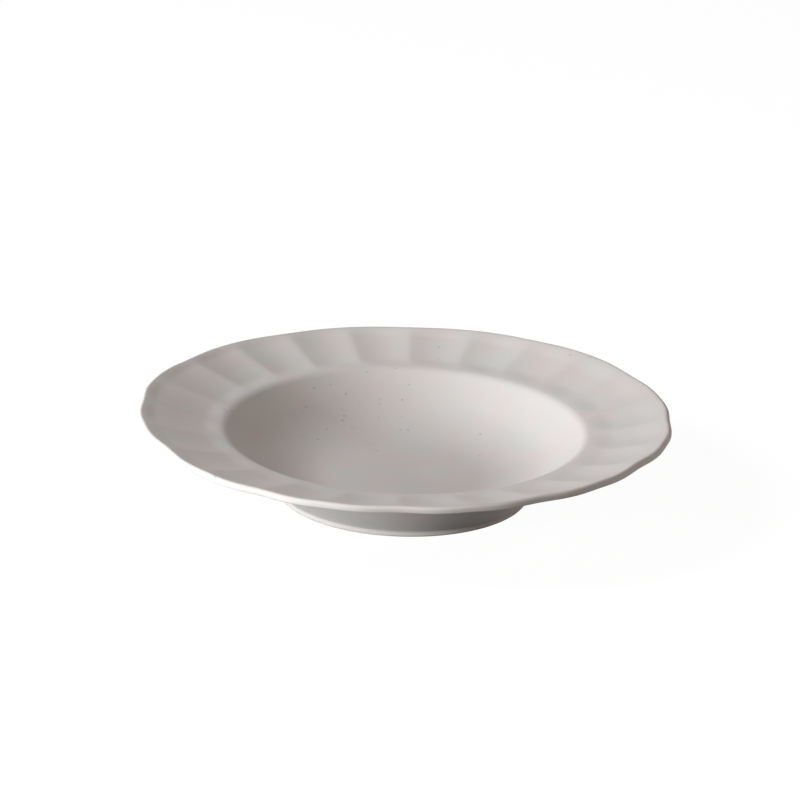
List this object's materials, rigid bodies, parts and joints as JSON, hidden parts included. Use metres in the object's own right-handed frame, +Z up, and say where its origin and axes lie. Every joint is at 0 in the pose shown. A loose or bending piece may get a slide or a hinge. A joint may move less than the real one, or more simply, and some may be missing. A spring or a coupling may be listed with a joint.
{
  "type": "rimmed soup plate",
  "caption": "Round soup plate with a deep well, a wide fluted rim with a lobed lip, and a low foot ring; matt glazed stoneware.",
  "frame": {"origin": "middle of the flat face under the foot ring, on the surface that the plate stands on", "axes": "+Z up through the middle of the well; +X through one of the notches between two lobes of the lip; the picture looks along +Y"},
  "size_m": [0.2288, 0.2288, 0.0375],
  "materials": {
    "stoneware": "bare fired stoneware, fine grain, dry",
    "matt_glaze": "matt warm grey glaze with a few fine iron specks",
    "base_glaze": "matt warm grey glaze with a few fine iron specks"
  },
  "bodies": {
    "root": {"clay_body": "stoneware", "glaze_coat": "matt_glaze", "recess_glaze": "base_glaze"}
  },
  "joints": []
}
